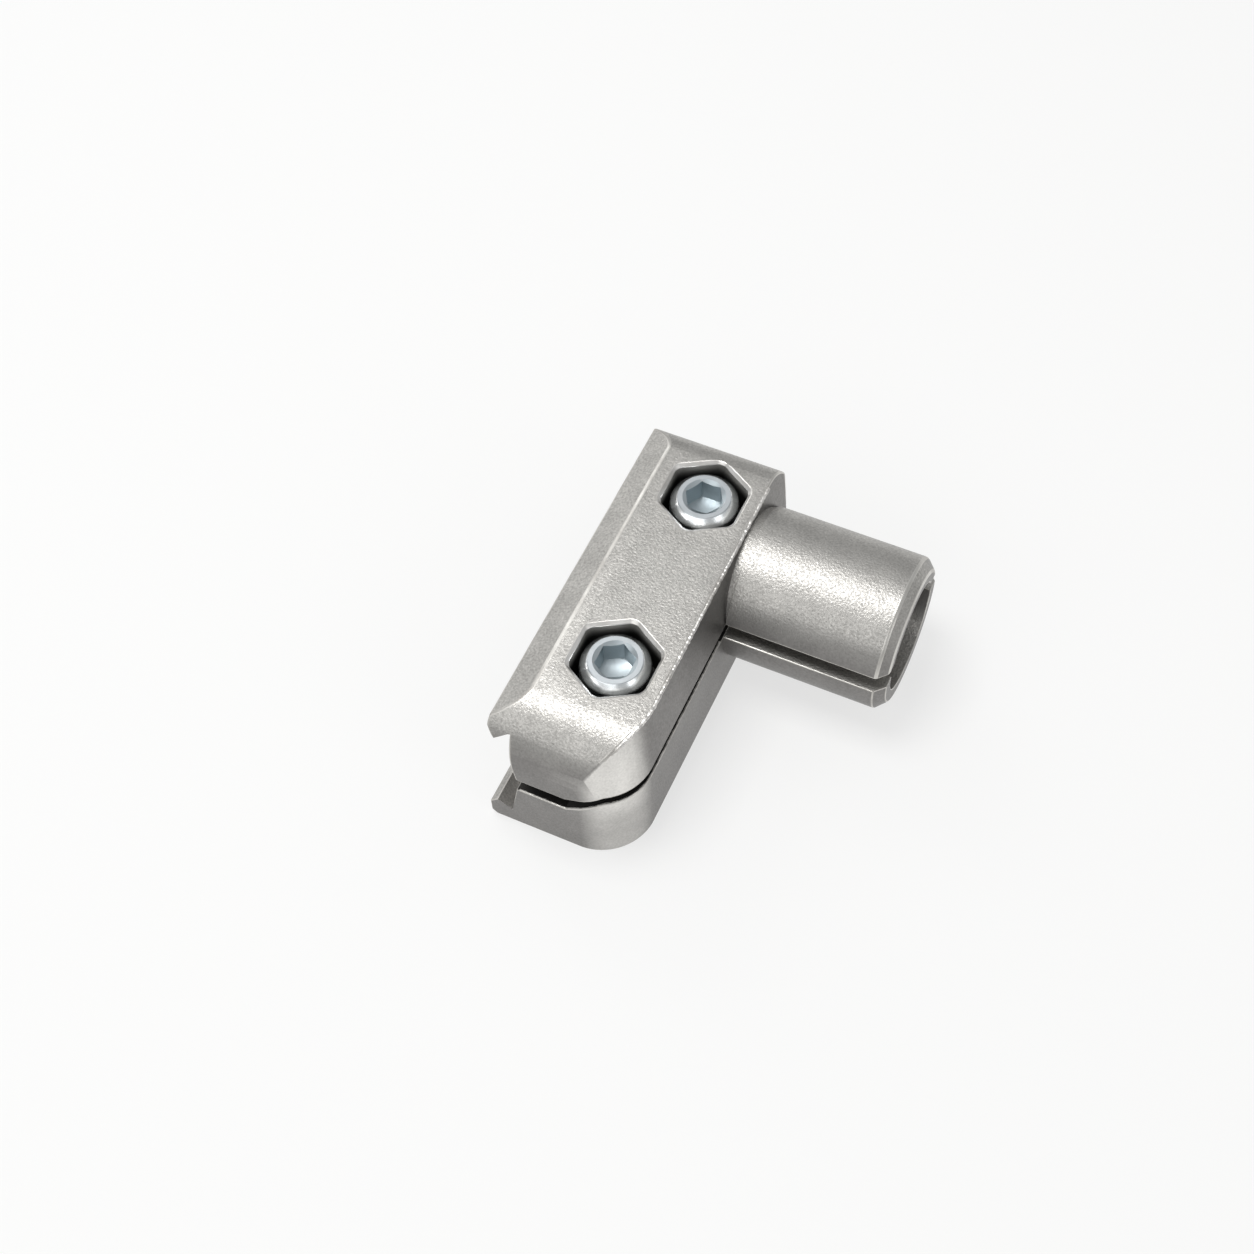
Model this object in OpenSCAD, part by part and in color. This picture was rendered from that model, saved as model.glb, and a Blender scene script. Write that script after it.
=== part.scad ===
// Inner profile connector: two cast jaws that clamp a rail and fill a tube's end, drawn together by screws.
// The origin is where the spigot's axis crosses the seat face; X runs out along the spigot, Y along the rail.

/* [Body] */
// Length of the jaws along the rail
body_len = 57.8; // [54:0.2:70]
// Height over both closed jaws
body_h = 24; // [23.6:0.2:28]
// Distance from the seat face to the rail's face
body_w = 18.7; // [18:0.1:24]
// Distance from the spigot's axis to the far end
far_reach = 14; // [13:0.2:16]
// Rounding of the upper jaw's near end, seen from the side
near_round = 9; // [4:0.5:10]
// Rounding of the upper jaw's far end, seen from the side
far_round = 5.5; // [2:0.5:6]
// Rounding of the near corner beside the seat, seen from above
near_corner = 8; // [4:0.5:9]
// Rounding that the upper jaw's near corner grows to at its top
top_corner = 12; // [10:0.5:13]
// Rounding of the far corner beside the seat, seen from above
far_corner = 3; // [1:0.5:4]
// How far the upper jaw's seat wall leans back from the parting to the top
seat_lean = 1.5; // [0.5:0.1:2]

/* [Parting] */
// Height of the upper jaw's underside beside the claws
claw_parting = 0.4; // [0.2:0.1:0.8]
// Height of the upper jaw's underside beside the seat
seat_parting = 2.8; // [2:0.1:3]
// Gap between the jaws beside the claws
claw_gap = 2.6; // [1.5:0.1:2.8]
// Gap between the jaws beside the seat
seat_gap = 1.5; // [1:0.1:1.8]
// Width of the flat land beside the seat
land_w = 4; // [3.8:0.1:5]
// Run of the ramp from the land down to the claws' side
ramp_run = 5.5; // [4:0.1:7]
// Distance from the seat face to the line on which the jaws rock
fulcrum_in = 2.4; // [2.2:0.1:2.6]
// Radius of the bead on which the jaws rock
fulcrum_r = 1.5; // [1:0.1:1.6]
// Distance from the body's ends to the bead's ends
fulcrum_inset = 9; // [6:0.5:14]

/* [Claws] */
// Width of the rail between its two lips
rail_w = 16.7; // [15:0.1:16.8]
// Clearance between a hook and its lip
rail_play = 0.15; // [0.05:0.05:0.3]
// Undercut angle of the lips
lip_angle = 30; // [20:1:35]
// How far a hook reaches past the rail's face
hook_reach = 1.7; // [1:0.1:2.2]
// How far a claw's nose reaches past the rail's face
nose_reach = 2.9; // [2.6:0.1:4]
// Height of the nose's upright face
nose_h = 1.1; // [0.6:0.1:1.2]
// Run of the slope from the top down to the nose
slope_run = 4.1; // [3:0.1:5]
// Drop of the slope from the top down to the nose
slope_drop = 2.1; // [1.5:0.1:2.2]
// Bevel under the lower claw
foot_bevel = 0.8; // [0.3:0.1:1.2]
// Clearance between the body and the rail's face at the hooks
face_play = 0.6; // [0.3:0.1:1]
// How far the body draws back from the rail between hook and parting
face_draft = 1.2; // [0.5:0.1:1.6]

/* [Spigot] */
// Diameter of the spigot
spigot_d = 22.8; // [20:0.2:23.2]
// Length of the spigot from the seat face
spigot_len = 24; // [18:0.5:32]
// Wall of the hollow spigot
spigot_wall = 3.4; // [2.4:0.1:4]
// Slit between the spigot's halves
spigot_slit = 2.4; // [2.2:0.1:3]
// Bevel at the spigot's tip
tip_bevel = 1.5; // [0.5:0.1:2]
// Depth of the spigot's neck behind the seat face
neck_depth = 0.4; // [0.2:0.1:0.8]
// Depth of the spigot's root inside the jaws
root_depth = 3; // [2.5:0.5:4]
// Thickness of the web that closes the spigot's hollow
web = 2; // [1:0.5:4]

/* [Screws] */
// Distance between the two screws
screw_pitch = 30; // [28:0.5:32]
// Distance from the far end to the far screw
screw_margin = 11; // [10.5:0.5:12]
// Distance from the seat face to the screws
screw_in = 9.3; // [9:0.1:9.6]
// Thread diameter
screw_d = 6; // [5:0.5:6]
// Length under the head
screw_len = 16; // [15:0.5:17]
// Diameter of the head
head_d = 10; // [9:0.1:10.4]
// Height of the head
head_h = 6; // [5:0.1:6.4]
// Diameter of the flat ring round the socket
ring_d = 7.7; // [7:0.1:8.5]
// Height of the bevel round the ring
ring_bevel = 1.2; // [0.8:0.1:2.5]
// Width of the key socket across its flats
key_w = 5; // [4:0.5:5]
// Depth of the key socket
key_depth = 3; // [2:0.1:3.5]
// Turn of the far screw against the near one
key_turn = 30; // [0:5:60]
// How far a head's top lies below the jaw's top
head_sink = 0.4; // [0.1:0.1:1]
// Bevel at the screw's end
end_bevel = 0.7; // [0.3:0.1:1]

/* [Nuts and pockets] */
// Width of a nut across its flats
nut_w = 10; // [9:0.1:10.2]
// Height of a nut
nut_h = 5.2; // [4.5:0.1:5.6]
// Radial clearance between a nut's bore and the thread
thread_play = 0.05; // [0.02:0.01:0.1]
// Width of the hex pockets across their flats
pocket_w = 11.2; // [10.8:0.1:11.4]
// Bevel round a pocket's rim
rim_bevel = 0.45; // [0.2:0.05:0.6]
// Diameter of the clearance holes
screw_hole = 7; // [6.6:0.1:7.4]
// Clearance of a seated head or nut
seat_play = 0.02; // [0.01:0.01:0.1]

/* [Hidden] */
$fn = 96;

// Allowance for cutters that pass a face, and for faces that would otherwise coincide
spare = 5;
skin = 0.02;

top_z = body_h / 2;
lower_claw_parting = claw_parting - claw_gap;
lower_seat_parting = seat_parting - seat_gap;
slit_z = seat_parting - seat_gap / 2;
far_y = far_reach;
near_y = far_reach - body_len;
far_screw_y = far_y - screw_margin;
near_screw_y = far_screw_y - screw_pitch;

rail_x = -body_w;
nose_x = rail_x - nose_reach;
tip_x = rail_x - hook_reach;
face_x = rail_x + face_play;
nose_top = top_z - slope_drop;
nose_low = nose_top - nose_h;

head_seat = top_z - head_sink - head_h;
nut_seat = head_seat - screw_len + nut_h;
fulcrum_z = seat_parting - seat_play - fulcrum_r;

// Height of a hook's gripping face at x
function hook_z(x) = rail_w / 2 + rail_play + (x - rail_x) * tan(lip_angle);

// Claw outline from the nose down to the hook and in to the foot of the rail face, for the upper jaw
function claw() = [
    [nose_x, nose_low],
    [tip_x, hook_z(tip_x)],
    [face_x, hook_z(face_x)]
];

// Underside of the upper jaw or top of the lower one, from the claws' side to the seat
function parting(claw_side, seat_side) = [
    [face_x + face_draft, claw_side],
    [-land_w - ramp_run, claw_side],
    [-land_w, seat_side]
];

// What a quarter round takes off a corner that points to +x and +y
module corner_cut(r) {
    difference() {
        translate([-r, -r]) square(r + spare);
        translate([-r, -r]) circle(r);
    }
}

module upper_section() {
    polygon(concat(
        [[spare, top_z], [nose_x + slope_run, top_z], [nose_x, nose_top]],
        claw(),
        parting(claw_parting, seat_parting),
        [[spare, seat_parting]]
    ));
}

module lower_section() {
    polygon(concat(
        [[0, -top_z], [nose_x + foot_bevel, -top_z], [nose_x, foot_bevel - top_z]],
        [for (p = claw()) [p.x, -p.y]],
        parting(lower_claw_parting, lower_seat_parting),
        [[0, lower_seat_parting]]
    ));
}

// Outline of the upper jaw from the side, with its rounded ends
module side_outline() {
    difference() {
        translate([near_y - spare, -spare]) square([body_len + spare, top_z + skin + spare]);
        translate([far_y, top_z + skin]) corner_cut(far_round);
        translate([near_y - skin, top_z + skin]) mirror([1, 0]) corner_cut(near_round);
    }
}

module along_y(from, to) {
    translate([0, to, 0]) rotate([90, 0, 0]) linear_extrude(to - from) children();
}

module along_x(from, to) {
    translate([from, 0, 0]) rotate([90, 0, 90]) linear_extrude(to - from) children();
}

// Block that a plan outline cuts off both jaws over their whole height
module over_height() {
    translate([0, 0, -top_z - spare]) linear_extrude(body_h + 2 * spare) children();
}

module far_corner_cut() {
    over_height() translate([skin, far_y + skin]) corner_cut(far_corner);
}

module near_corner_cut() {
    over_height() translate([skin, near_y - skin]) mirror([0, 1]) corner_cut(near_corner);
}

// Loft of the upper jaw's seat wall: it grows from a fixed point, so the near end stays upright while the
// seat wall leans back and the near corner widens from the parting to the top
module seat_loft() {
    growth = (top_corner / near_corner - 1) / (top_z - seat_parting);
    fixed_x = seat_lean / (top_corner / near_corner - 1);
    foot = 1 - growth * seat_parting;
    head = 1 + growth * (top_z + spare - seat_parting);
    translate([fixed_x, near_y, 0]) linear_extrude(top_z + spare, scale = head / foot)
        scale(foot) difference() {
            translate([-2 * body_w - fixed_x, 0]) square([2 * body_w, 2 * body_len]);
            translate([-fixed_x, 0]) mirror([0, 1]) corner_cut(near_corner, $fn = 48);
        }
}

module upper_body() {
    difference() {
        intersection() {
            along_y(near_y - spare, far_y + spare) upper_section();
            along_x(nose_x - spare, spare) side_outline();
            seat_loft();
        }
        far_corner_cut();
    }
}

module lower_body() {
    difference() {
        along_y(near_y, far_y) lower_section();
        far_corner_cut();
        near_corner_cut();
    }
}

// Whole hollow spigot with its bevelled tip and a neck behind the seat face
module spigot() {
    r = spigot_d / 2;
    core = r - spigot_wall;
    neck = r - neck_depth;
    rotate([90, 0, 90]) rotate_extrude() polygon([
        [0, -root_depth],
        [neck, -root_depth],
        [neck, 0],
        [r, 0],
        [r, spigot_len - tip_bevel],
        [r - tip_bevel, spigot_len],
        [core, spigot_len],
        [core, web],
        [0, web]
    ]);
}

// Half of the spigot on one side of its slit: side 1 is the upper half, side -1 the lower
module half_spigot(side) {
    intersection() {
        spigot();
        translate([-spare, -spigot_d, slit_z + side * (spigot_d + spigot_slit) / 2 - spigot_d / 2])
            cube([spigot_len + 2 * spare, 2 * spigot_d, spigot_d]);
    }
}

// Hexagon with two corners along Y
module hexagon(width) {
    rotate(30) circle(d = width / cos(30), $fn = 6);
}

// Six-sided funnel that widens upwards to a given width, as a crossing of three wedges
module hex_funnel(width, slope_h) {
    half = width / 2;
    intersection_for (turn = [0, 60, 120])
        rotate(turn) along_y(-width, width)
            polygon([
                [slope_h - half, -slope_h],
                [half - slope_h, -slope_h],
                [half + spare, spare],
                [-half - spare, spare]
            ]);
}

// Pocket and clearance hole for one screw, opening upwards from its seat to the given face
module screw_pocket(seat, face) {
    translate([0, 0, seat]) linear_extrude(face - seat + spare) hexagon(pocket_w);
    translate([0, 0, face]) hex_funnel(pocket_w + 2 * rim_bevel, 2 * rim_bevel);
    translate([0, 0, -top_z]) cylinder(d = screw_hole, h = body_h);
}

module at_screws() {
    for (y = [far_screw_y, near_screw_y]) translate([-screw_in, y, 0]) children();
}

module upper_jaw() {
    color("#b4b0aa") difference() {
        union() {
            upper_body();
            half_spigot(1);
        }
        at_screws() screw_pocket(head_seat, top_z);
    }
}

module lower_jaw() {
    color("#a5a29d") difference() {
        union() {
            lower_body();
            half_spigot(-1);
            along_y(near_y + fulcrum_inset, far_y - fulcrum_inset)
                translate([-fulcrum_in, fulcrum_z]) circle(fulcrum_r);
        }
        at_screws() mirror([0, 0, 1]) screw_pocket(-nut_seat, top_z);
    }
}

// Socket head cap screw with its head's underside at z = 0
module cap_screw(turn) {
    difference() {
        rotate_extrude() polygon([
            [0, -screw_len],
            [screw_d / 2 - end_bevel, -screw_len],
            [screw_d / 2, end_bevel - screw_len],
            [screw_d / 2, 0],
            [head_d / 2, 0],
            [head_d / 2, head_h - ring_bevel],
            [ring_d / 2, head_h],
            [0, head_h]
        ]);
        translate([0, 0, head_h - key_depth])
            rotate(turn) linear_extrude(key_depth + spare) hexagon(key_w);
        translate([0, 0, head_h - key_depth - key_w / 4])
            cylinder(r1 = 0, r2 = key_w / 2, h = key_w / 4);
    }
}

// Hex nut with its bearing face at z = 0, hanging down, and its corners bevelled at both faces
module hex_nut() {
    corner = nut_w / cos(30) / 2;
    flat = nut_w / 2;
    bevel = (corner - flat) / 2;
    translate([0, 0, -nut_h]) difference() {
        intersection() {
            linear_extrude(nut_h) hexagon(nut_w);
            rotate_extrude() polygon([
                [0, 0],
                [flat, 0],
                [corner + skin, bevel],
                [corner + skin, nut_h - bevel],
                [flat, nut_h],
                [0, nut_h]
            ]);
        }
        translate([0, 0, -spare]) cylinder(d = screw_d + 2 * thread_play, h = nut_h + 2 * spare);
    }
}

module far_screw() {
    color("#c9d2d8") translate([-screw_in, far_screw_y, head_seat + seat_play]) cap_screw(key_turn);
}

module near_screw() {
    color("#c9d2d8") translate([-screw_in, near_screw_y, head_seat + seat_play]) cap_screw(0);
}

module far_nut() {
    color("#b9c0c4") translate([-screw_in, far_screw_y, nut_seat - seat_play]) hex_nut();
}

module near_nut() {
    color("#b9c0c4") translate([-screw_in, near_screw_y, nut_seat - seat_play]) hex_nut();
}

upper_jaw();
lower_jaw();
far_screw();
near_screw();
far_nut();
near_nut();
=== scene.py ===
import math

import bmesh
import bpy
from mathutils import Matrix, Vector


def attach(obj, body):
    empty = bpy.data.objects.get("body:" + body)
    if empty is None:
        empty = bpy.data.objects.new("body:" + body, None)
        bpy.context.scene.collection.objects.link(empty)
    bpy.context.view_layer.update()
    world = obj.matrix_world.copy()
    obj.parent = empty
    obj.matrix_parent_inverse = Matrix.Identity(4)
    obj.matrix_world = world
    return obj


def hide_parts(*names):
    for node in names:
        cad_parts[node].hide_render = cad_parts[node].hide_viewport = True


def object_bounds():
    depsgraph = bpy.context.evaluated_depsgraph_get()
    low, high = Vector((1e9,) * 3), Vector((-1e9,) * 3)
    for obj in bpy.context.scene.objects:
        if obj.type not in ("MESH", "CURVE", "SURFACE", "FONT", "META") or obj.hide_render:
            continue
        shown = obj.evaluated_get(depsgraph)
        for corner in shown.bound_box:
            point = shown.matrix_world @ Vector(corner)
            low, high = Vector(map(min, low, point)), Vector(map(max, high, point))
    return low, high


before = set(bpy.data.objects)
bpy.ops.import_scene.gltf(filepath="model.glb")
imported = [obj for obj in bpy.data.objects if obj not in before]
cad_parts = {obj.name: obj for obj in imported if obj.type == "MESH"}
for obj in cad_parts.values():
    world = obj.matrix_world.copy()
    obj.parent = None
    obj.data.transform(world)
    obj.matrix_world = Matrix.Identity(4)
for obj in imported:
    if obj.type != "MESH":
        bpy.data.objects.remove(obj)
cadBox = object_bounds()
mm = 0.001  # the frame is in metres, sizes below are in millimetres
print("frame loaded:", ", ".join(sorted(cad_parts)))


# Helpers

# steps round a turn, distances in millimetres, and the angle in degrees up to which shading is smooth
fineness = {"latheSteps": 96, "threadSteps": 48, "merge": 0.002, "cut": 0.0001, "smoothAngle": 20}


def toLinear(hexColour):
    channels = [int(hexColour[i:i + 2], 16) / 255 for i in (1, 3, 5)]
    return [c / 12.92 if c <= 0.04045 else ((c + 0.055) / 1.055) ** 2.4 for c in channels] + [1.0]


def addNode(tree, kind, inputs=None, **settings):
    # adds one node; an input is a value to set or a socket to link from
    node = tree.nodes.new(kind)
    for name, value in settings.items():
        setattr(node, name, value)
    for name, value in (inputs or {}).items():
        if isinstance(value, bpy.types.NodeSocket):
            tree.links.new(value, node.inputs[name])
        else:
            node.inputs[name].default_value = value
    return node


def startMaterial(name):
    material = bpy.data.materials.new(name)
    material.use_nodes = True
    material.node_tree.nodes.clear()
    return material, material.node_tree


def perMm(size):
    return 1 / (size * mm)  # noise scale that gives features of this size in millimetres


def selectOnly(piece):
    bpy.ops.object.select_all(action="DESELECT")
    piece.select_set(True)
    bpy.context.view_layer.objects.active = piece


def newPath(name, points):
    # a row of points joined by edges
    links = [(i, i + 1) for i in range(len(points) - 1)]
    mesh = bpy.data.meshes.new(name)
    mesh.from_pydata([Vector(p) * mm for p in points], links, ())
    piece = bpy.data.objects.new(name, mesh)
    bpy.context.scene.collection.objects.link(piece)
    selectOnly(piece)
    return piece


def applyModifier(piece, kind, **settings):
    selectOnly(piece)
    modifier = piece.modifiers.new(kind.title(), kind)
    for name, value in settings.items():
        setattr(modifier, name, value)
    bpy.ops.object.modifier_apply(modifier=modifier.name)


def mergeUp(piece):
    # joins doubled points and turns all faces outwards
    selectOnly(piece)
    bpy.ops.object.mode_set(mode="EDIT")
    bpy.ops.mesh.select_all(action="SELECT")
    bpy.ops.mesh.remove_doubles(threshold=fineness["merge"] * mm)
    bpy.ops.mesh.normals_make_consistent(inside=False)
    bpy.ops.object.mode_set(mode="OBJECT")


def lathe(name, profile):
    # spins an (r, z) profile round the Z axis into a closed solid
    piece = newPath(name, [(r, 0, z) for r, z in profile])
    bpy.ops.object.mode_set(mode="EDIT")
    bpy.ops.mesh.select_all(action="SELECT")
    bpy.ops.mesh.spin(steps=fineness["latheSteps"], angle=math.tau, center=(0, 0, 0), axis=(0, 0, 1))
    bpy.ops.object.mode_set(mode="OBJECT")
    mergeUp(piece)
    return piece


def hexPrism(name, width, low, high, turn=0):
    # six-sided prism of a width across its flats, with corners along Y before its turn
    bpy.ops.object.select_all(action="DESELECT")
    bpy.ops.mesh.primitive_cylinder_add(
        vertices=6, radius=width * mm / math.sqrt(3), depth=(high - low) * mm,
        location=(0, 0, (low + high) / 2 * mm), rotation=(0, 0, math.radians(turn)))
    piece = bpy.context.active_object
    piece.name = name
    bpy.ops.object.transform_apply(location=True, rotation=True, scale=True)
    return piece


def setMaterials(piece, materials):
    piece.data.materials.clear()
    for material in materials:
        piece.data.materials.append(material)


def combine(piece, tool, operation):
    before = piece.data.copy()
    applyModifier(piece, "BOOLEAN", operation=operation, solver="EXACT", object=tool)
    if len(piece.data.polygons) < len(before.polygons) / 2:  # a failed cut leaves the piece as it was
        piece.data = before
    bpy.data.objects.remove(tool)


def joinInto(piece, tool):
    selectOnly(piece)
    tool.select_set(True)
    bpy.ops.object.join()


def finishPiece(piece, use, slot, **shading):
    # smooth roundings beside flat faces that stay flat, then the piece's place in the frame
    selectOnly(piece)
    bpy.ops.object.shade_smooth_by_angle(angle=math.radians(fineness["smoothAngle"]))
    applyModifier(piece, "WEIGHTED_NORMAL", keep_sharp=True, **shading)
    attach(piece, use["body"])
    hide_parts(use["node"])


# Materials

noiseSpread = {"From Min": 0.3, "From Max": 0.7}  # most of a noise's values lie between these

castLook = {
    # the wall tone is painted shade on the upright walls, and the near corner gets a painted highlight
    "wallShadeTone": "#878583", "blastedTone": "#b1afab", "cornerHighlightTone": "#e8e6e2",
    "wallLevel": 0.35, "blastedLevel": 0.7,  # how far a face looks up or down, from wall to top
    "corner": (0.707, -0.707, 0), "cornerFrom": 0.7,  # the way that the corner with the painted highlight faces
    "nearFrom": -33.5, "nearTo": -37, "lowZ": -4, "highZ": 3, "lowShare": 0.5,  # where that corner lies
    "grit": 0.32,  # blast grit is finer, it is drawn coarser so that it shows
    "gritDepth": 0.06, "wallGrit": 0.3, "speckDark": -0.2, "speckLight": 0.18,
    "mottle": 4, "mottleDark": 0.92, "mottleLight": 1.07, "dullRough": 0.52, "brightRough": 0.36,
}


def makeCastAluminium(look):
    # Die-cast aluminium, blasted on top: a warm satin grey with fine grit. Upright walls keep a smoother
    # skin, with painted shade that darkens them, and the near corner gets a painted highlight
    material, tree = startMaterial("dieCastAluminium")
    place = addNode(tree, "ShaderNodeTexCoord").outputs["Object"]
    where = addNode(tree, "ShaderNodeSeparateXYZ", {0: place})
    normal = addNode(tree, "ShaderNodeNewGeometry").outputs["Normal"]
    facing = addNode(tree, "ShaderNodeSeparateXYZ", {0: normal})
    level = addNode(tree, "ShaderNodeMath", {0: facing.outputs["Z"]}, operation="ABSOLUTE")
    upFacing = addNode(tree, "ShaderNodeMapRange", {
        "Value": level.outputs["Value"], "From Min": look["wallLevel"], "From Max": look["blastedLevel"]})
    cornerward = addNode(tree, "ShaderNodeVectorMath", {
        0: normal, 1: look["corner"]}, operation="DOT_PRODUCT")
    corner = addNode(tree, "ShaderNodeMapRange", {
        "Value": cornerward.outputs["Value"], "From Min": look["cornerFrom"], "From Max": 1.0},
        interpolation_type="SMOOTHSTEP")
    nearEnd = addNode(tree, "ShaderNodeMapRange", {
        "Value": where.outputs["Y"], "From Min": look["nearFrom"] * mm, "From Max": look["nearTo"] * mm})
    higher = addNode(tree, "ShaderNodeMapRange", {
        "Value": where.outputs["Z"], "From Min": look["lowZ"] * mm, "From Max": look["highZ"] * mm,
        "To Min": look["lowShare"], "To Max": 1})
    cornerEnd = addNode(tree, "ShaderNodeMath", {
        0: corner.outputs["Result"], 1: nearEnd.outputs["Result"]}, operation="MULTIPLY")
    cornerHighlight = addNode(tree, "ShaderNodeMath", {
        0: cornerEnd.outputs["Value"], 1: higher.outputs["Result"]}, operation="MULTIPLY")
    grit = addNode(tree, "ShaderNodeTexNoise", {
        "Vector": place, "Scale": perMm(look["grit"]), "Detail": 2.0, "Roughness": 0.55})
    mottle = addNode(tree, "ShaderNodeTexNoise", {
        "Vector": place, "Scale": perMm(look["mottle"]), "Detail": 4.0})
    # painted shade: faces that look sideways take the darker wall tone, faces that look up take the top's
    # tone
    skin = addNode(tree, "ShaderNodeMix", {"Factor": upFacing.outputs["Result"]}, data_type="RGBA")
    skin.inputs["A"].default_value = toLinear(look["wallShadeTone"])
    skin.inputs["B"].default_value = toLinear(look["blastedTone"])
    # painted highlight: the near corner is mixed towards a pale tone, less so lower down
    bright = addNode(tree, "ShaderNodeMix", {"Factor": cornerHighlight.outputs["Value"]}, data_type="RGBA")
    tree.links.new(skin.outputs["Result"], bright.inputs["A"])
    bright.inputs["B"].default_value = toLinear(look["cornerHighlightTone"])
    cloud = addNode(tree, "ShaderNodeMapRange", {
        "Value": mottle.outputs["Fac"], **noiseSpread,
        "To Min": look["mottleDark"], "To Max": look["mottleLight"]})
    speck = addNode(tree, "ShaderNodeMapRange", {
        "Value": grit.outputs["Fac"], **noiseSpread,
        "To Min": look["speckDark"], "To Max": look["speckLight"]})
    depth = addNode(tree, "ShaderNodeMapRange", {
        "Value": upFacing.outputs["Result"], "To Min": look["wallGrit"], "To Max": 1})
    grain = addNode(tree, "ShaderNodeMath", {
        0: speck.outputs["Result"], 1: depth.outputs["Result"], 2: 1.0}, operation="MULTIPLY_ADD")
    amount = addNode(tree, "ShaderNodeMath", {
        0: cloud.outputs["Result"], 1: grain.outputs["Value"]}, operation="MULTIPLY")
    colour = addNode(tree, "ShaderNodeVectorMath", {
        0: bright.outputs["Result"], "Scale": amount.outputs["Value"]}, operation="SCALE")
    rough = addNode(tree, "ShaderNodeMapRange", {
        "Value": grit.outputs["Fac"], **noiseSpread,
        "To Min": look["dullRough"], "To Max": look["brightRough"]})
    bump = addNode(tree, "ShaderNodeBump", {
        "Height": grit.outputs["Fac"], "Strength": depth.outputs["Result"],
        "Distance": look["gritDepth"] * mm})
    shader = addNode(tree, "ShaderNodeBsdfPrincipled", {
        "Base Color": colour.outputs["Vector"], "Metallic": 1.0, "Roughness": rough.outputs["Result"],
        "Normal": bump.outputs["Normal"]})
    addNode(tree, "ShaderNodeOutputMaterial", {"Surface": shader.outputs["BSDF"]})
    return material


# the edge tones are partly real wear and partly a painted highlight
edgeLook = {"dull": "#b0ada8", "bright": "#d6d4cf", "wearAndHighlight": 5, "dullRough": 0.45, "brightRough": 0.3}
# the rim tones are a painted highlight
rimHighlightLook = {"dull": "#bdbab5", "bright": "#efedea", "wearAndHighlight": 5, "dullRough": 0.45, "brightRough": 0.3}


def makeWornEdgeAndHighlight(name, look):
    # The same casting on its rounded edges, brighter and smoother, more so in some places: partly worn bare,
    # partly a painted highlight
    material, tree = startMaterial(name)
    place = addNode(tree, "ShaderNodeTexCoord").outputs["Object"]
    wearAndHighlight = addNode(tree, "ShaderNodeTexNoise", {
        "Vector": place, "Scale": perMm(look["wearAndHighlight"]), "Detail": 3.0})
    patch = addNode(tree, "ShaderNodeMapRange", {"Value": wearAndHighlight.outputs["Fac"], **noiseSpread})
    tone = addNode(tree, "ShaderNodeMix", {"Factor": patch.outputs["Result"]}, data_type="RGBA")
    tone.inputs["A"].default_value = toLinear(look["dull"])
    tone.inputs["B"].default_value = toLinear(look["bright"])
    rough = addNode(tree, "ShaderNodeMapRange", {
        "Value": wearAndHighlight.outputs["Fac"], "To Min": look["dullRough"], "To Max": look["brightRough"]})
    shader = addNode(tree, "ShaderNodeBsdfPrincipled", {
        "Base Color": tone.outputs["Result"], "Metallic": 1.0, "Roughness": rough.outputs["Result"]})
    addNode(tree, "ShaderNodeOutputMaterial", {"Surface": shader.outputs["BSDF"]})
    return material


shadeLook = {
    "deepShade": "#2b2a29", "paleShade": "#4a4947", "mouth": "#b2b0ac", "patch": 2, "rough": 0.6,
    "mouthFrom": 8.8, "mouthTo": 11.3,  # heights between which the painted shade fades out
}


def makePaintedShade(look):
    # Painted shade inside the parting and the pockets: a nearly black metal
    # in the gap, fading out at the pockets' mouths
    material, tree = startMaterial("paintedShadeAluminium")
    place = addNode(tree, "ShaderNodeTexCoord").outputs["Object"]
    where = addNode(tree, "ShaderNodeSeparateXYZ", {0: place})
    level = addNode(tree, "ShaderNodeMath", {0: where.outputs["Z"]}, operation="ABSOLUTE")
    mouth = addNode(tree, "ShaderNodeMapRange", {
        "Value": level.outputs["Value"],
        "From Min": look["mouthFrom"] * mm, "From Max": look["mouthTo"] * mm},
        interpolation_type="SMOOTHSTEP")
    paintedShade = addNode(tree, "ShaderNodeTexNoise", {
        "Vector": place, "Scale": perMm(look["patch"]), "Detail": 4.0})
    tone = addNode(tree, "ShaderNodeMix", {"Factor": paintedShade.outputs["Fac"]}, data_type="RGBA")
    tone.inputs["A"].default_value = toLinear(look["deepShade"])
    tone.inputs["B"].default_value = toLinear(look["paleShade"])
    shadeFaded = addNode(tree, "ShaderNodeMix", {"Factor": mouth.outputs["Result"]}, data_type="RGBA")
    tree.links.new(tone.outputs["Result"], shadeFaded.inputs["A"])
    shadeFaded.inputs["B"].default_value = toLinear(look["mouth"])
    shader = addNode(tree, "ShaderNodeBsdfPrincipled", {
        "Base Color": shadeFaded.outputs["Result"], "Metallic": 1.0, "Roughness": look["rough"]})
    addNode(tree, "ShaderNodeOutputMaterial", {"Surface": shader.outputs["BSDF"]})
    return material


plateLook = {"tone": "#bfc4c7", "smooth": 0.3, "rough": 0.44, "cloud": 0.8, "bump": 0.15, "depth": 0.02}
socketLook = {"tone": "#bac3c7", "smooth": 0.26, "rough": 0.38, "cloud": 0.8, "bump": 0.15, "depth": 0.02}
# the bevel's paler tone is a painted highlight
bevelHighlightLook = {"tone": "#e4e8ea", "smooth": 0.2, "rough": 0.3, "cloud": 0.8, "bump": 0.15, "depth": 0.02}


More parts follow.
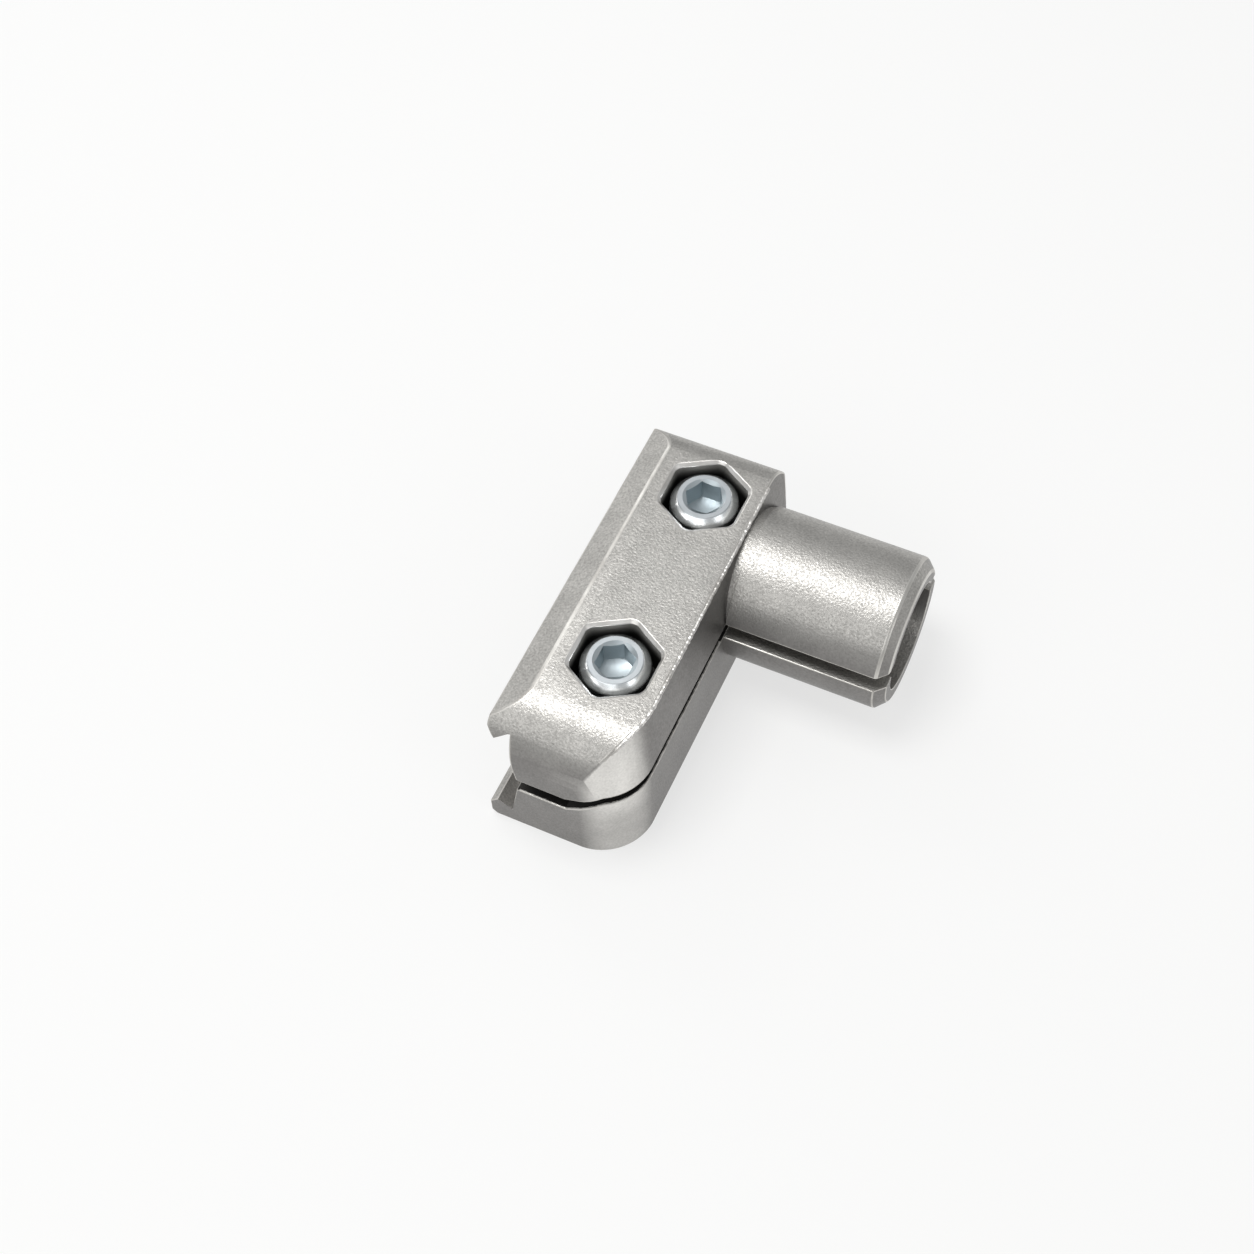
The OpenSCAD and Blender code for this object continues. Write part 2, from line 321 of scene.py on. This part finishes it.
def makeZincPlate(name, look):
    # Bright zinc plate on steel: a cool white metal with soft, slightly cloudy reflections
    material, tree = startMaterial(name)
    place = addNode(tree, "ShaderNodeTexCoord").outputs["Object"]
    cloud = addNode(tree, "ShaderNodeTexNoise", {
        "Vector": place, "Scale": perMm(look["cloud"]), "Detail": 3.0})
    rough = addNode(tree, "ShaderNodeMapRange", {
        "Value": cloud.outputs["Fac"], "To Min": look["smooth"], "To Max": look["rough"]})
    bump = addNode(tree, "ShaderNodeBump", {
        "Height": cloud.outputs["Fac"], "Strength": look["bump"], "Distance": look["depth"] * mm})
    shader = addNode(tree, "ShaderNodeBsdfPrincipled", {
        "Base Color": toLinear(look["tone"]), "Metallic": 1.0, "Roughness": rough.outputs["Result"],
        "Normal": bump.outputs["Normal"]})
    addNode(tree, "ShaderNodeOutputMaterial", {"Surface": shader.outputs["BSDF"]})
    return material


castAluminium = makeCastAluminium(castLook)
wornEdgeAndHighlight = makeWornEdgeAndHighlight("wornAluminiumEdgeWithHighlight", edgeLook)
rimHighlight = makeWornEdgeAndHighlight("aluminiumRimHighlight", rimHighlightLook)
paintedShadeFinish = makePaintedShade(shadeLook)
zincPlate = makeZincPlate("brightZincPlate", plateLook)
zincSocket = makeZincPlate("broachedZincPlate", socketLook)
zincBevelHighlight = makeZincPlate("zincPlateBevelHighlight", bevelHighlightLook)

# the materials of a casting and of a screw in their order, and the number of each
castFinishes = {"skin": castAluminium, "edge": wornEdgeAndHighlight, "paintedShade": paintedShadeFinish, "rim": rimHighlight}
screwFinishes = {"plate": zincPlate, "socket": zincSocket, "bevel": zincBevelHighlight}
castNumber = {finish: i for i, finish in enumerate(castFinishes)}
screwNumber = {finish: i for i, finish in enumerate(screwFinishes)}
print("materials made")


# Castings: merged copies of the CAD jaws with their sharp edges rounded

castings = {
    "upperJaw": {
        "node": "upper_jaw", "body": "upper", "merge": 0.001,
        "edge": 0.3, "pocketCorner": 0.7, "rim": 0.12, "neck": 0.1,  # roundings
        "parting": -1, "low": 0, "high": 3.5},  # the way its parting face looks, and that face's heights
    "lowerJaw": {
        "node": "lower_jaw", "body": "lower", "merge": 0.03,
        "edge": 0.14, "pocketCorner": 0.7, "rim": 0.12, "neck": 0.1,
        "parting": 1, "low": -3, "high": 3.5},
}
rounding = {
    "flat": 0.6, "seam": 26, "segments": 3,  # degrees of bend below which edges go, or stay as they are
    "parted": 0.8, "partingX": (-17.6, 0.1),  # faces that look towards the other jaw, and where they lie
    "upright": 0.5, "neckX": 0.5, "neckRadius": 12,
    "grip": 0.5, "gripPlay": 0.03, "alongRail": 0.9,  # the hooks' leaning faces and their long edges
}
pocket = {
    "places": [(-9.3, 3), (-9.3, -27)], "halfX": 6.3, "halfY": 7.2, "fromZ": 5,
    "floorFrom": 5.3, "floorTo": 6, "wallTo": 11.4, "wallSlope": 0.4,  # where the painted shade goes
    # where the rims get their painted highlight
    "rimFrom": 10.5, "rimSlope": 0.95,
}
crease = {"nearY": -34.8, "fromX": -14, "lowZ": 3.2, "highZ": 9.4}  # near corner below its flash, left without the edges' bright tone


def nearPocket(point):
    return any(
        abs(point.x / mm - x) < pocket["halfX"] and abs(point.y / mm - y) < pocket["halfY"]
        for x, y in pocket["places"])


def edgeWidth(edge, use):
    # rounding of one edge: none at seams, hollow corners and the hooks' ends, less at rims and the neck
    bend = edge.calc_face_angle_signed(0)
    a, b = (v.co for v in edge.verts)
    middle = (a + b) / 2
    along = (b - a).normalized()
    level, pocketLevel = abs(middle.z), pocket["fromZ"] * mm
    inParting = all(face.normal.z * use["parting"] > rounding["parted"] for face in edge.link_faces)
    if abs(bend) < math.radians(rounding["seam"]) or inParting and level < pocketLevel:
        return 0
    if nearPocket(middle) and level > pocketLevel and abs(along.z) > rounding["upright"]:
        return use["pocketCorner"]
    gripping = any(
        abs(face.normal.x - rounding["grip"]) < rounding["gripPlay"]
        and abs(face.normal.y) < rounding["gripPlay"] for face in edge.link_faces)
    if bend < 0 or gripping and abs(along.y) < rounding["alongRail"]:
        return 0
    if nearPocket(middle) and level > pocketLevel:
        return use["rim"]
    fromAxis = math.hypot(middle.y, middle.z)
    atNeck = abs(middle.x) < rounding["neckX"] * mm and fromAxis < rounding["neckRadius"] * mm
    return use["neck"] if atNeck else use["edge"]


def castFinish(polygon, use):
    # number of one face's material: painted shade in pockets and parting, painted highlight on rims,
    # elsewhere the one it has
    middle, up = polygon.center / mm, polygon.normal.z
    level = abs(middle.z)
    if nearPocket(polygon.center) and level > pocket["floorFrom"]:
        if level < pocket["floorTo"] or abs(up) < pocket["wallSlope"] and level < pocket["wallTo"]:
            return castNumber["paintedShade"]
        if abs(up) < pocket["rimSlope"] and level > pocket["rimFrom"]:
            return castNumber["rim"]
        return polygon.material_index
    left, right = rounding["partingX"]
    inGap = use["low"] < middle.z < use["high"] and left < middle.x < right
    if up * use["parting"] > rounding["parted"] and inGap:
        return castNumber["paintedShade"]
    belowFlash = crease["lowZ"] < middle.z < crease["highZ"]
    if belowFlash and middle.y < crease["nearY"] and middle.x > crease["fromX"]:
        return castNumber["skin"]
    return polygon.material_index


def makeCasting(name, use):
    piece = bpy.data.objects.new(name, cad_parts[use["node"]].data.copy())
    bpy.context.scene.collection.objects.link(piece)
    setMaterials(piece, castFinishes.values())
    selectOnly(piece)
    bpy.ops.object.mode_set(mode="EDIT")
    bpy.ops.mesh.select_all(action="SELECT")
    bpy.ops.mesh.remove_doubles(threshold=use["merge"] * mm)
    bpy.ops.mesh.dissolve_limited(angle_limit=math.radians(rounding["flat"]))
    bpy.ops.object.mode_set(mode="OBJECT")
    mesh = piece.data
    solid = bmesh.new()
    solid.from_mesh(mesh)
    weights = [edgeWidth(edge, use) / use["pocketCorner"] for edge in solid.edges]
    solid.free()
    mesh.attributes.new("bevel_weight_edge", "FLOAT", "EDGE").data.foreach_set("value", weights)
    applyModifier(
        piece, "BEVEL", width=use["pocketCorner"] * mm, segments=rounding["segments"],
        limit_method="WEIGHT", use_clamp_overlap=False, material=castNumber["edge"],
        miter_outer="MITER_ARC", face_strength_mode="FSTR_ALL")
    for polygon in mesh.polygons:
        polygon.material_index = castFinish(polygon, use)
    return piece


# Flash: a beaded ridge where the dies met, on the seat side of both jaws

flash = {
    "nearY": -43.8, "topZ": 12, "nearRound": 9, "cornerFoot": 8, "cornerTop": 12, "lean": 1.5, "footZ": 2.8,
    "railX": -16.5, "rampX": -9.5, "rampLength": 5.5,  # where the lower jaw's edge climbs
    "ridge": {
        "radius": 0.3, "inset": 0, "sink": 0.31, "low": 9.4, "farY": 8, "rough": 0.26,
        "fade": 0.42, "fadePoints": 50},  # how far it dives into the casting at its near end
    "lowerRidge": {
        "radius": 0.17, "inset": 0.14, "sink": 0.04, "farY": -12.5, "rough": 0.12,
        "claw": -2.2, "seat": 1.3},  # heights of that edge before and after it climbs
    "step": 0.12, "lump": 0.45, "riseSteps": 80, "turnSteps": 10, "cornerSteps": 40,
}


def upperCrease(inset, low, farY):
    # points along the upper jaw's seat-side crease, from the near end up its corner and along the top
    nearY, topZ, nearRound = flash["nearY"], flash["topZ"], flash["nearRound"]
    points = []
    for i in range(flash["riseSteps"] + 1):
        z = low + (topZ - low) * math.sin(math.pi / 2 * i / flash["riseSteps"])
        rise = (z - flash["footZ"]) / (topZ - flash["footZ"])
        radius = flash["cornerFoot"] + (flash["cornerTop"] - flash["cornerFoot"]) * rise
        drop = z - topZ + nearRound
        y = nearY + nearRound - math.sqrt(max(nearRound ** 2 - drop ** 2, 0))
        side = (radius - inset) ** 2 - (y - nearY - radius) ** 2
        points.append(Vector((math.sqrt(max(side, 0)) - radius - flash["lean"] * rise, y, z)))
    radius = flash["cornerTop"]
    turn = math.asin((radius - nearRound) / (radius - inset))
    for i in range(1, flash["turnSteps"] + 1):
        a = turn * (1 - i / flash["turnSteps"])
        x = (radius - inset) * math.cos(a) - radius - flash["lean"]
        points.append(Vector((x, nearY + radius - (radius - inset) * math.sin(a), topZ)))
    points.append(Vector((-flash["lean"] - inset, farY, topZ)))
    return points


def lowerEdge(use):
    # points along the lower jaw's upper edge, from its rail face round the near corner to the spigot
    nearY, radius = flash["nearY"], flash["cornerFoot"]
    plan = [Vector((flash["railX"], nearY, 0)), Vector((flash["rampX"], nearY, 0))]
    for i in range(flash["cornerSteps"] + 1):
        a = math.pi / 2 * i / flash["cornerSteps"]
        plan.append(Vector((radius * math.sin(a) - radius, nearY + radius - radius * math.cos(a), 0)))
    plan.append(Vector((0, use["farY"], 0)))
    for point in plan:
        climb = min(max((point.x - flash["rampX"]) / flash["rampLength"], 0), 1)
        point.z = use["claw"] + (use["seat"] - use["claw"]) * climb
    return plan


def resample(points):
    # evenly spaced points along a path
    even, left = [points[0]], flash["step"]
    for a, b in zip(points, points[1:]):
        length = (b - a).length
        while length > 0 and left <= length:
            even.append(a.lerp(b, left / length))
            left += flash["step"]
        left -= length
    return even


def bead(name, points, use, finish):
    # rough tube along a path, kept inside the casting's near end and top
    newPath(name, resample(points))
    bpy.ops.object.convert(target="CURVE")
    piece = bpy.context.active_object
    piece.data.bevel_depth = use["radius"] * mm
    piece.data.bevel_resolution = 2
    piece.data.use_fill_caps = True
    bpy.ops.object.convert(target="MESH")
    piece = bpy.context.active_object
    mergeUp(piece)
    lumps = bpy.data.textures.new(name, "CLOUDS")
    lumps.noise_scale = flash["lump"] * mm
    applyModifier(
        piece, "DISPLACE", texture=lumps, texture_coords="LOCAL", strength=use["rough"] * mm, mid_level=0.5)
    for point in piece.data.vertices:
        point.co.y = max(point.co.y, flash["nearY"] * mm)
        point.co.z = min(point.co.z, flash["topZ"] * mm)
    setMaterials(piece, castFinishes.values())
    for polygon in piece.data.polygons:
        polygon.material_index = castNumber[finish]
    return piece


def addFlash(upper, lower):
    ridge, low = flash["ridge"], flash["lowerRidge"]
    path = []
    for i, point in enumerate(upperCrease(ridge["inset"], ridge["low"], ridge["farY"])):
        fade = max(1 - i / ridge["fadePoints"], 0) ** 2 * ridge["fade"]
        path.append(point - Vector((fade, -fade, ridge["sink"] + fade)))
    # the upper ridge takes the rims' painted highlight, the lower ridge the edges' wear and painted
    # highlight
    joinInto(upper, bead("ridge", path, ridge, "rim"))
    centre = Vector((-flash["cornerFoot"], flash["nearY"] + flash["cornerFoot"], 0))
    path = []
    for point in lowerEdge(low):
        out = Vector((max(point.x - centre.x, 0), min(point.y - centre.y, 0), 0)).normalized()
        path.append(point - out * low["inset"] - Vector((0, 0, low["sink"])))
    joinInto(lower, bead("lowerRidge", path, low, "edge"))


pieces = {name: makeCasting(name, use) for name, use in castings.items()}
addFlash(pieces["upperJaw"], pieces["lowerJaw"])
for name, use in castings.items():
    finishPiece(pieces[name], use, "casting", mode="CORNER_ANGLE", use_face_influence=True)
    print(name, len(pieces[name].data.vertices), "vertices", len(pieces[name].data.polygons), "faces")
print("castings made")


# Screws: turned heads with broached sockets and rolled threads

screws = {
    "farScrew": {"node": "far_screw", "body": "far_screw", "place": (-9.3, 3, 5.62), "turn": 30},
    "nearScrew": {"node": "near_screw", "body": "near_screw", "place": (-9.3, -27, 5.62), "turn": 0},
}
headProfile = [
    (0, 0), (4.85, 0), (5, 0.15), (5, 4.4), (4.98, 4.6), (4.92, 4.79), (4.8, 4.97),
    (3.97, 5.84), (3.9, 5.92), (3.78, 6), (0, 6)]
headBevel = {"radius": 3.85, "height": 4.5}  # outside and above these the head's bevel takes a paler tone, a painted highlight
socket = {
    "width": 5, "depth": 3.7, "lead": 3.12, "leadSlope": 0.62, "point": 0.9,
    "radius": 2.95, "below": 0.1, "edge": 0.05}  # bounds of the broached faces
thread = {
    "root": 2.46, "crest": 2.97, "pitch": 1, "length": 16, "endBevel": 0.7, "play": 0.05,
    "crestTo": 0.12, "rootFrom": 0.42, "rootTo": 0.7,  # shares of the pitch
    "rodTop": 1.006, "rodEnd": 0.006}  # cuts kept off the levels of other faces
cutter = {"over": 0.5, "past": 1, "tipTop": 2, "tipFlare": 0.1}  # how far cutting tools stand out


def threadRod(name, play, low, high):
    # rod with a right-hand thread, cut square at both heights
    root, crest, pitch = thread["root"] + play, thread["crest"] + play, thread["pitch"]
    start = (math.floor(low / pitch) - 1) * pitch
    profile = [
        (crest, 0), (crest, thread["crestTo"]),
        (root, thread["rootFrom"]), (root, thread["rootTo"]), (crest, 1)]
    piece = newPath(name, [(r, 0, start + z * pitch) for r, z in profile])
    applyModifier(
        piece, "SCREW", axis="Z", angle=math.tau, screw_offset=pitch * mm, steps=fineness["threadSteps"],
        render_steps=fineness["threadSteps"], iterations=math.ceil((high - start) / pitch) + 1)
    mergeUp(piece)
    bpy.ops.object.mode_set(mode="EDIT")
    for height, side in ((low, "clear_inner"), (high, "clear_outer")):
        bpy.ops.mesh.select_all(action="SELECT")
        bpy.ops.mesh.bisect(
            plane_co=(0, 0, height * mm), plane_no=(0, 0, 1), use_fill=True,
            threshold=fineness["cut"] * mm, **{side: True})
    bpy.ops.object.mode_set(mode="OBJECT")
    mergeUp(piece)
    return piece


def makeScrew(name, use):
    piece = lathe(name, headProfile)
    top = headProfile[-1][1]
    floor = top - socket["depth"]
    over, end = cutter["over"], -thread["length"]
    combine(piece, hexPrism("key", socket["width"], floor, top + cutter["past"], use["turn"]), "DIFFERENCE")
    combine(piece, lathe("point", [
        (0, floor - socket["point"]), (socket["width"] / 2, floor), (0, floor)]), "DIFFERENCE")
    reach = socket["lead"] * socket["leadSlope"]
    combine(piece, lathe("lead", [
        (0, top - reach), (socket["lead"] + over / socket["leadSlope"], top + over), (0, top + over)]),
        "DIFFERENCE")
    rod = threadRod("rod", 0, thread["rodEnd"] + end, thread["rodTop"])
    endTip = thread["crest"] - thread["endBevel"]
    wide = thread["crest"] + over
    combine(rod, lathe("tip", [
        (0, end - cutter["past"]), (endTip - cutter["tipFlare"], end - cutter["past"]), (endTip, end),
        (wide, thread["endBevel"] + over + end), (wide, cutter["tipTop"]), (0, cutter["tipTop"])]),
        "INTERSECT")
    combine(piece, rod, "UNION")
    mergeUp(piece)
    setMaterials(piece, screwFinishes.values())
    lowest = floor - socket["point"] - socket["below"]
    for polygon in piece.data.polygons:
        middle = polygon.center / mm
        radius = math.hypot(middle.x, middle.y)
        if radius < socket["radius"] and lowest < middle.z < top - socket["edge"]:
            polygon.material_index = screwNumber["socket"]
        elif radius > headBevel["radius"] and middle.z > headBevel["height"]:
            polygon.material_index = screwNumber["bevel"]
    piece.data.transform(Matrix.Translation(Vector(use["place"]) * mm))
    finishPiece(piece, use, "zinc_plated_screw", weight=100)
    print(name, len(piece.data.polygons), "faces")
    return piece


for name, use in screws.items():
    pieces[name] = makeScrew(name, use)
print("screws made")


# Nuts: bevelled hexagons tapped in step with the screws' threads

nuts = {
    "farNut": {"node": "far_nut", "body": "far_nut", "place": (-9.3, 3, 5.6)},
    "nearNut": {"node": "near_nut", "body": "near_nut", "place": (-9.3, -27, 5.6)},
}
nutForm = {
    "width": 10, "low": -16, "high": -10.8, "bevel": 0.39, "bevelIn": 0.12, "mouth": 0.3,
    "cornerPlay": 0.02, "tapPast": 1.506}  # how far the tap runs past the nut's faces


def makeNut(name, use):
    low, high, flat = nutForm["low"], nutForm["high"], nutForm["width"] / 2
    corner, bevel = flat / math.cos(math.radians(30)) + nutForm["cornerPlay"], nutForm["bevel"]
    ring = flat - nutForm["bevelIn"]
    piece = hexPrism(name, nutForm["width"], low, high)
    combine(piece, lathe("corners", [
        (0, low), (ring, low), (corner, low + bevel), (corner, high - bevel), (ring, high), (0, high)]),
        "INTERSECT")
    past = nutForm["tapPast"]
    combine(piece, threadRod("tap", thread["play"], low - past, high + past), "DIFFERENCE")
    mouth, wide, over = nutForm["mouth"], thread["crest"] + thread["play"], cutter["over"]
    for face, side in ((low, -1), (high, 1)):
        inner, outer = face - side * mouth, face + side * over
        combine(piece, lathe("mouth", [
            (0, inner), (wide - mouth, inner), (wide + over, outer), (0, outer)]), "DIFFERENCE")
    mergeUp(piece)
    setMaterials(piece, [zincPlate])
    piece.data.transform(Matrix.Translation(Vector(use["place"]) * mm))
    finishPiece(piece, use, "zinc_plated_nut", weight=100)
    print(name, len(piece.data.polygons), "faces")
    return piece


for name, use in nuts.items():
    pieces[name] = makeNut(name, use)
print("nuts made")


# Stage: camera, floor and light

camera = {
    "lens": 55.18, "sensor": 36, "place": (56.03, -149.40, 229.56),
    "heading": 27.339, "pitch": 56.567, "roll": -3.044}
cameraData = bpy.data.cameras.new("photoCamera")
cameraData.lens = camera["lens"]
cameraData.sensor_width = camera["sensor"]
cameraObject = bpy.data.objects.new("photoCamera", cameraData)
bpy.context.scene.collection.objects.link(cameraObject)
turn = (
    Matrix.Rotation(math.radians(camera["heading"]), 3, "Z")
    @ Matrix.Rotation(math.radians(90 - camera["pitch"]), 3, "X")
    @ Matrix.Rotation(math.radians(camera["roll"]), 3, "Z")
)
cameraObject.location = Vector(camera["place"]) * mm
cameraObject.rotation_euler = turn.to_euler()
bpy.context.scene.camera = cameraObject

floor = {"size": 4000, "below": 0.02, "tone": "#e4e4e2", "glow": 0.65}
floorHeight = cadBox[0].z - floor["below"] * mm
bpy.ops.object.select_all(action="DESELECT")
bpy.ops.mesh.primitive_plane_add(size=floor["size"] * mm, location=(0, 0, floorHeight))
floorObject = bpy.context.active_object
floorObject.name = "floor"

# pale painted floor that looks nearly white to the eye and in reflections, and still takes the shadow
floorMaterial, floorTree = startMaterial("paintedFloor")
path = addNode(floorTree, "ShaderNodeLightPath")
paint = addNode(floorTree, "ShaderNodeBsdfDiffuse", {"Color": toLinear(floor["tone"])})
white = addNode(floorTree, "ShaderNodeEmission", {"Color": (1, 1, 1, 1), "Strength": 1.0})
seen = addNode(floorTree, "ShaderNodeMath", {
    0: path.outputs["Is Camera Ray"], 1: path.outputs["Is Glossy Ray"]}, operation="ADD")
through = addNode(floorTree, "ShaderNodeMath", {
    0: seen.outputs["Value"], 1: path.outputs["Is Transmission Ray"]}, operation="ADD", use_clamp=True)
share = addNode(floorTree, "ShaderNodeMath", {
    0: through.outputs["Value"], 1: floor["glow"]}, operation="MULTIPLY")
mixed = addNode(floorTree, "ShaderNodeMixShader", {
    0: share.outputs["Value"], 1: paint.outputs["BSDF"], 2: white.outputs["Emission"]})
addNode(floorTree, "ShaderNodeOutputMaterial", {"Surface": mixed.outputs["Shader"]})
floorObject.data.materials.append(floorMaterial)

lamps = {
    "topSoftbox": {"place": (-175, -25, 652), "size": (290, 290), "watts": 2.4},
    "frontSoftbox": {"place": (-120, -520, 400), "size": (800, 300), "watts": 0.85},
    "rightSoftbox": {"place": (560, -180, 300), "size": (260, 260), "watts": 0.3},
    "backSoftbox": {"place": (-175, 420, 520), "size": (440, 440), "watts": 0.12},
    "leftSoftbox": {"place": (-600, 330, 240), "size": (420, 420), "watts": 0.34},
    "stripSoftbox": {"place": (-430, 330, 430), "size": (160, 160), "watts": 0.22},
}
for name, lamp in lamps.items():
    data = bpy.data.lights.new(name, "AREA")
    data.shape = "RECTANGLE"
    data.size, data.size_y = (side * mm for side in lamp["size"])
    data.energy = lamp["watts"]
    lampObject = bpy.data.objects.new(name, data)
    bpy.context.scene.collection.objects.link(lampObject)
    lampObject.location = Vector(lamp["place"]) * mm
    lampObject.rotation_euler = (-lampObject.location).to_track_quat("-Z", "Y").to_euler()

sky = {"tone": "#e8e9ea", "strength": 0.62}
world = bpy.data.worlds.new("studio")
bpy.context.scene.world = world
world.use_nodes = True
world.node_tree.nodes["Background"].inputs["Color"].default_value = toLinear(sky["tone"])
world.node_tree.nodes["Background"].inputs["Strength"].default_value = sky["strength"]
bpy.context.scene.view_settings.view_transform = "Standard"
print("stage set")
